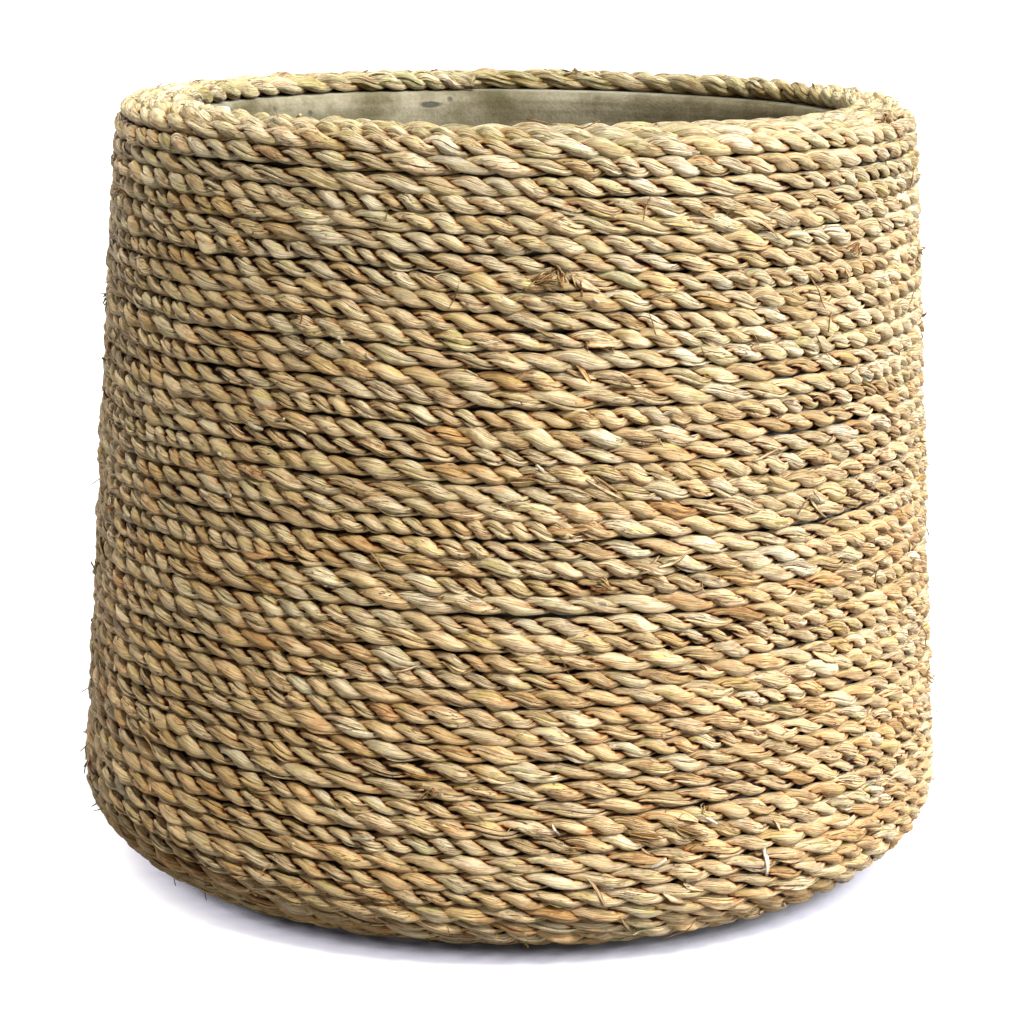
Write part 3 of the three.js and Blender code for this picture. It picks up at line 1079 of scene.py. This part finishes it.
def blade_points(blades, kinds, rng):
    """The rings of all blades. A blade's line starts at an angle and running length and goes on
    along its heading, bowed to one side by a parabola. Its width tapers to both ends, and its
    section is a shallow channel, turned a little about the line."""
    angle, run, heading, length, width = blades.T[:, :, None]
    thick, start_width, end_width, start_lift, end_lift = kinds.T[:5, :, None]
    heading = np.radians(heading)
    t = np.linspace(0, 1, BLADE_RINGS)[None]
    bow = rng.uniform(-BLADE_BOW, BLADE_BOW, (len(blades), 1)) * length * 4 * t * (1 - t)
    across = length * t * np.cos(heading) - bow * np.sin(heading)
    up = length * t * np.sin(heading) + bow * np.cos(heading)
    run = run + up
    radius = np.interp(run, line_run, line_points[:, 0])
    angle = np.radians(angle) + across / radius
    middle, out, rise = wall_frame(angle, run)
    lift = drape(angle, run) + thick / 2 + start_lift * (1 - t) ** 2 + end_lift * t ** 2
    start_taper = start_width + (1 - start_width) * ease(t, 0, 0.4)
    end_taper = 1 - (1 - end_width) * ease(t, 0.5, 1)
    ragged = 1 + BLADE_ROUGHNESS * rng.uniform(-1, 1, (BLADE_RINGS, len(blades))).T
    half = width / 2 * start_taper * end_taper * ragged
    roll = rng.uniform(-BLADE_ROLL, BLADE_ROLL, (len(blades), 1))[:, :, None]
    side_share, thick_share = BLADE_SECTION.T
    side = half[:, :, None] * side_share
    over = thick[:, :, None] * thick_share + BLADE_CHANNEL * half[:, :, None] * (side_share ** 2 - 0.4)
    side, over = side * np.cos(roll) - over * np.sin(roll), side * np.sin(roll) + over * np.cos(roll)
    around = np.stack([np.cos(angle), np.sin(angle), np.zeros_like(angle)], -1)
    sideways = np.cos(heading)[:, :, None] * rise - np.sin(heading)[:, :, None] * around
    centre = middle + lift[:, :, None] * out
    points = centre[:, :, None] + side[..., None] * sideways[:, :, None]
    return points + over[..., None] * out[:, :, None]


def blade_maps(count, length):
    """The two maps for the corners of each blade's quads: the straw pattern, and a page on which
    every blade has a square of its own."""
    along = np.linspace(0, 1, BLADE_RINGS)
    fold = np.linspace(0, 1, len(BLADE_SECTION) + 1)
    corner_u = np.stack([along[:-1], along[:-1], along[1:], along[1:]], 1)[None, :, None]
    corner_v = np.stack([fold[:-1], fold[1:], fold[1:], fold[:-1]], 1)[None, None]
    shape = (count, BLADE_RINGS - 1, len(BLADE_SECTION), 4)
    number = np.arange(count)[:, None, None, None]
    squares = math.ceil(math.sqrt(count + 1))
    row, place = np.divmod(number, squares)
    metres = length[:, None, None, None] * MM
    leaf = (corner_u * metres + BLADE_SHIFT * number, corner_v + number)
    page = ((place + BLADE_FILL * corner_u) / squares, (row + BLADE_FILL * corner_v) / squares)
    return [np.stack([np.broadcast_to(values, shape) for values in pair], -1).reshape(-1, 2)
            for pair in (leaf, page)]


def make_blades(name, rows, material, seed):
    """One object of many blades. A row is a kind, an angle in degrees, a running length, a heading
    in degrees with 0 to the right, a length and a width."""
    rng = np.random.default_rng(seed)
    blades = np.array([row[1:] for row in rows], float)
    kinds = np.array([BLADE_KINDS[row[0]] for row in rows])
    points = blade_points(blades, kinds, rng)
    count, corners = len(rows), len(BLADE_SECTION)
    index = np.arange(points[..., 0].size).reshape(count, BLADE_RINGS, corners)
    after = np.roll(index, -1, axis=2)
    quads = np.stack([index[:, :-1], after[:, :-1], after[:, 1:], index[:, 1:]], -1).reshape(-1, 4)
    caps = np.concatenate([index[:, 0, ::-1], index[:, -1]])
    obj = make_object(name, points.reshape(-1, 3), [quads, caps], material, [True, False])
    store_maps(obj, *blade_maps(count, blades[:, 3]), caps.size)
    shape = (count, BLADE_RINGS, corners)
    traits = {
        "tone": kinds[:, 6, None, None] + BLADE_TONE * rng.uniform(-1, 1, (count, 1, 1)),
        "warmth": kinds[:, 7, None, None] + BLADE_WARMTH * rng.uniform(-1, 1, (count, 1, 1)),
        "wrinkle": rng.uniform(0, 1, (count, 1, 1)),
        "seam": kinds[:, 5, None, None] * BLADE_EDGE,
        "step": 0.0,
        "cut": 0.0,
    }
    for trait, values in traits.items():
        store_numbers(obj, trait, np.broadcast_to(values, shape))
    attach(obj, "root")
    print(name, count, "blades,", len(quads) + len(caps), "faces")


# %% [markdown]
# The pieces that catch the eye on the front are placed one by one. A frayed end is a fan of
# fibres that leave one point. The rest is strewn over the pot by chance, from a fixed seed.

# %% Loose straw on the front
FRONT_STRAW = [
    # kind, angle, running length, heading, length, width
    # The splice above the middle: two stalks, a folded leaf, a tucked leaf and crossing fibres.
    ("strip", 7, 243, 118, 9, 1.3), ("strip", 8, 243, 112, 7, 1.0), ("dark", 8.5, 241, 98, 5, 0.7),
    ("broad", 7.5, 247, -30, 9, 3.4), ("pale", 9, 241, -25, 4, 1.1), ("pale", 11, 239, 40, 4, 1.1),
    ("strip", 0.5, 240, -3, 10, 1.6), ("pale", 4, 240, -8, 3, 1.4),
    # The flat leaf with a dark tie round it, right of the middle.
    ("broad", 9, 226, -2, 9, 3.2), ("strip", 9, 227, -22, 9, 0.9), ("dark", 12, 228, -76, 5, 0.7),
    ("dark", 9, 228, -84, 4, 0.6), ("pale", 18, 240, 15, 5, 1.2),
    # A run of leaves that lie on the rope below the splice.
    ("strip", 4, 182, -14, 16, 1.6), ("strip", 9, 184, -30, 14, 1.4), ("strip", 10, 185, -36, 11, 1.0),
    ("pale", 16, 178, -12, 7, 1.4), ("broad", 4, 168, 2, 13, 3.0), ("strip", 7, 166, -6, 8, 1.3),
    ("pale", 5, 165, 0, 9, 1.5), ("strip", 9, 164, -19, 4, 0.8), ("dark", 12, 148, 165, 6, 1.6),
    ("strip", 18, 155, 20, 10, 1.6), ("strip", 17, 156, 30, 5, 1.1), ("strip", 15, 152, 17, 7, 1.0),
    ("dark", 17, 152, -23, 5, 0.9), ("pale", 10, 145, -11, 4, 1.3), ("dark", 2, 145, -20, 3, 1.2),
    # The left of the front.
    ("pale", -36, 197, -22, 7, 1.6), ("pale", -39, 194, -14, 3, 1.2), ("pale", -32, 198, 10, 6, 1.0),
    ("pale", -41, 172, -2, 8, 1.7), ("broad", -36, 154, 0, 11, 2.6), ("dark", -10, 85, -35, 4, 1.2),
    ("dark", -12, 88, -8, 8, 1.1), ("pale", -9, 82, 18, 3, 0.9), ("strip", -13, 58, -9, 5, 0.8),
    ("pale", -20, 65, 10, 10, 1.0), ("pale", -28, 61, 5, 4, 1.1),
    # The lower right, where wide leaves are folded over the rope.
    ("dark", 10, 71, -23, 4, 1.2), ("broad", 19, 75, -20, 12, 3.6), ("pale", 24, 72, -28, 5, 1.3),
    ("pale", 11, 51, 11, 4, 1.3), ("broad", 19, 49, -28, 9, 2.8),
    # The upper right, with the long blade that crosses two rows.
    ("strip", 29, 266, -30, 20, 1.6), ("strip", 27, 268, -14, 6, 1.1), ("broad", 40, 267, 0, 6, 2.9),
    ("dark", 45, 267, -26, 8, 0.9), ("strip", 24, 267, -29, 8, 1.7), ("dark", 63, 267, -23, 5, 0.7),
    ("dark", 68, 285, -4, 8, 0.9), ("dark", 64, 287, 30, 4, 1.2), ("dark", 66, 286, -40, 4, 1.3),
    ("dark", 66, 287, 80, 3, 1.1), ("dark", 63.5, 286, -12, 4, 1.2),
    ("dark", 20, 298, 49, 4, 1.1), ("dark", 31, 299, -80, 4, 1.0),
    # The right, where a pale flake and a whitish leaf lie across the rope.
    ("pale", 17, 57, 30, 6, 1.6), ("pale", 33, 59, -93, 9, 1.6),
    # Hairs that stand off below, at the left and on the shoulder.
    ("hair", -32, 13, -70, 5, 0.5), ("hair", -31, 14, -120, 5, 0.5), ("hair", -14, 12, -80, 4.5, 0.5),
    ("hair", -12, 13, -110, 6, 0.5), ("hair", -1.5, 12, -60, 4.5, 0.5), ("hair", 0, 12, -95, 4.5, 0.5),
    ("hair", 1.5, 13, -130, 5, 0.5),
]
FRAYED_ENDS = [
    # angle, running length, heading, spread of the headings, length, how many fibres
    (3, 246, 10, 75, 7, 16), (1, 243, 20, 50, 8, 9), (6, 244, 95, 40, 6, 6), (0, 184, 8, 26, 9, 9),
    (9, 64, 172, 24, 8, 9), (14, 69, -10, 10, 15, 7), (20, 70, -18, 22, 15, 8),
    (53, 251, 195, 26, 10, 8), (65, 287, 10, 200, 4, 14), (-10, 84, 200, 70, 5, 8),
    (12, 149, 160, 60, 6, 8), (-6, 30, -95, 20, 6, 4), (2, 29, -88, 30, 7, 5), (24, 74, 30, 60, 4, 5),
    (-166, 302, 10, 60, 6, 7), (-150, 300, 170, 50, 5, 6), (168, 300, 20, 60, 5, 6),
    (-72, 262, 200, 70, 6, 7),
]
FRAY_KINDS = ["fibre", "fibre", "strip", "dark"]
FRAY_ANGLE = 0.35
FRAY_RUN = 1.2
FRAY_TURN = 5.0
FRAY_LENGTH = (0.5, 1.0)
FRAY_WIDTH = (0.45, 1.0)


def frayed(ends, seed):
    """Fibres that leave one point: headings spread evenly about the middle one, lengths between
    a half and the whole."""
    rng = np.random.default_rng(seed)
    rows = []
    for angle, run, heading, spread, length, count in ends:
        for share in np.linspace(-0.5, 0.5, count):
            place = angle + rng.uniform(-FRAY_ANGLE, FRAY_ANGLE), run + rng.uniform(-FRAY_RUN, FRAY_RUN)
            turned_to = heading + spread * share + rng.uniform(-FRAY_TURN, FRAY_TURN)
            size = length * rng.uniform(*FRAY_LENGTH), rng.uniform(*FRAY_WIDTH)
            rows.append((rng.choice(FRAY_KINDS), *place, turned_to, *size))
    return rows


make_blades("loose_straw_front", FRONT_STRAW + frayed(FRAYED_ENDS, 31), straw, 32)

# %% [markdown]
# Strewn straw follows the strands' own slant more often than not, because it comes out of them.

# %% Strewn straw
STREWN = {
    # kind: how many, shortest, longest, width, spread of the headings, distance from the mouth
    "pale": (70, 3, 6, 1.2, 22, 5),
    "strip": (60, 5, 13, 1.3, 22, 5),
    "dark": (40, 3, 5, 0.9, 22, 5),
    "broad": (26, 7, 12, 2.8, 22, 5),
    "fibre": (130, 4, 11, 0.5, 45, 5),
    "hair": (170, 3, 6, 0.6, 45, 30),
}
STREWN_SLANT = -20
STREWN_FROM_FOOT = 3
STREWN_WIDTH = (0.7, 1.3)


def strewn(seed):
    """Loose straw by chance: any angle, any running length, a heading near the strands' slant."""
    rng = np.random.default_rng(seed)
    rows = []
    for kind, (count, shortest, longest, width, spread, from_mouth) in STREWN.items():
        for _ in range(count):
            place = rng.uniform(-180, 180), rng.uniform(STREWN_FROM_FOOT, line_run[-1] - from_mouth)
            heading = rng.normal(STREWN_SLANT, spread)
            heading += 180 * rng.integers(0, 2)
            size = rng.uniform(shortest, longest), width * rng.uniform(*STREWN_WIDTH)
            rows.append((kind, *place, heading, *size))
    return rows


# %% Strewn frayed ends
# How many there are, how many fibres each has, and the limits of each draw.
STREWN_FRAYED = 40
STREWN_FIBRES = 8
STREWN_ANGLE = (60, 300)
STREWN_FOOT_MOUTH = (15, 20)
STREWN_HEADING = (-15, 30)
STREWN_SPREAD = (20, 80)
STREWN_LENGTH = (5, 11)


def strewn_ends(seed):
    """Frayed ends by chance, on the sides and the back."""
    rng = np.random.default_rng(seed)
    from_foot, from_mouth = STREWN_FOOT_MOUTH
    rows = []
    for _ in range(STREWN_FRAYED):
        place = rng.uniform(*STREWN_ANGLE), rng.uniform(from_foot, line_run[-1] - from_mouth)
        heading = rng.normal(*STREWN_HEADING) + 180 * rng.integers(0, 2)
        size = rng.uniform(*STREWN_SPREAD), rng.uniform(*STREWN_LENGTH)
        rows.append((*place, heading, *size, STREWN_FIBRES))
    return rows


make_blades("loose_straw_strewn", strewn(41) + frayed(strewn_ends(42), 43), straw, 44)

# %% [markdown]
# ## Floor, backdrop and light
# A pale floor runs far back, as in a product photograph. Three lamps as far off as the sun light
# the planter. A broad cool one on the right does most of it. A small one near the camera keeps
# the left from sinking and draws crisp shadows in the seams, and a warm one behind lights the
# back. What is left of the shade gets a dim warm sky, so that it stays brown, as between real
# straw. The camera sees sky and floor as white, but for a cool shade that the floor keeps under
# the planter, where less of the sky is open to it.

# %% Floor and light
FLOOR_HALF = 15000.0
SKY_FILL = 0.03
SKY_COLOUR = "#ffe3ba"
LAMPS = {
    # lamp: strength, degrees to the right of the camera, degrees up, softness, colour
    "key": (2.80, 74, 37, 58, "#f1f6ff"),
    "front": (1.06, 22, 50, 6, "#fdfaec"),
    "rim": (0.72, -137, 32, 40, "#fff3dc"),
}
FLOOR_CONTACT = 14.0 * MM


def floor_material():
    """Matt pale grey paint. To the camera it is lifted to pure white, but for a painted shadow: a
    faint cool shade about the planter and a dark line where the lowest rope nearly touches it, both
    set by how much of the sky is open above."""
    material, tree, output = new_material("matt_pale_paint")
    path = add(tree, "ShaderNodeLightPath")
    open_sky = add(tree, "ShaderNodeAmbientOcclusion", {"samples": 16}, Distance=FLOOR_CONTACT)
    shade = add(tree, "ShaderNodeValToRGB", {"stops": (
        (0.18, "#15130f"), (0.21, "#9d9ba7"), (0.27, "#bdbac6"), (0.4, "#d3cfda"), (0.6, "#eeecf2"),
        (0.72, "#ffffff"))}, Fac=open_sky.outputs["AO"])
    shader = add(tree, "ShaderNodeBsdfPrincipled", Base_Color=linear("#959595"), Roughness=0.9,
                 Specular_IOR_Level=0.1, Emission_Color=shade,
                 Emission_Strength=path.outputs["Is Camera Ray"])
    tree.links.new(shader.outputs[0], output.inputs[0])
    return material


def white_sky():
    """White to the camera and in reflections, and dim and warm as light, like a wooden room."""
    world = bpy.data.worlds.new("studio")
    bpy.context.scene.world = world
    world.use_nodes = True
    tree = world.node_tree
    tree.nodes.clear()
    path = add(tree, "ShaderNodeLightPath")
    seen = add(tree, "ShaderNodeMath", {"operation": "MAXIMUM"},
               _0=path.outputs["Is Camera Ray"], _1=path.outputs["Is Glossy Ray"])
    seen = add(tree, "ShaderNodeMath", {"operation": "MAXIMUM"},
               _0=seen, _1=path.outputs["Is Transmission Ray"])
    light = add(tree, "ShaderNodeBackground", Color=linear(SKY_COLOUR), Strength=SKY_FILL)
    backdrop = add(tree, "ShaderNodeBackground", Color=linear("#ffffff"), Strength=1.0)
    both = add(tree, "ShaderNodeMixShader", _0=seen, _1=light, _2=backdrop)
    add(tree, "ShaderNodeOutputWorld", Surface=both)


floor_points = np.array([(-1, -1, 0), (1, -1, 0), (1, 1, 0), (-1, 1, 0)]) * FLOOR_HALF
floor = make_object("floor", floor_points, [np.array([[0, 1, 2, 3]])], floor_material())
white_sky()

for lamp_name, (strength, azimuth, elevation, softness, colour) in LAMPS.items():
    lamp = bpy.data.objects.new(lamp_name, bpy.data.lights.new(lamp_name, "SUN"))
    lamp.data.energy = strength * PI
    lamp.data.color = linear(colour)[:3]
    lamp.data.angle = math.radians(softness)
    lamp.rotation_euler = (math.radians(90 - elevation), 0, math.radians(azimuth))
    bpy.context.scene.collection.objects.link(lamp)
bpy.context.scene.view_settings.view_transform = "Standard"
print("stage and lamps are set")
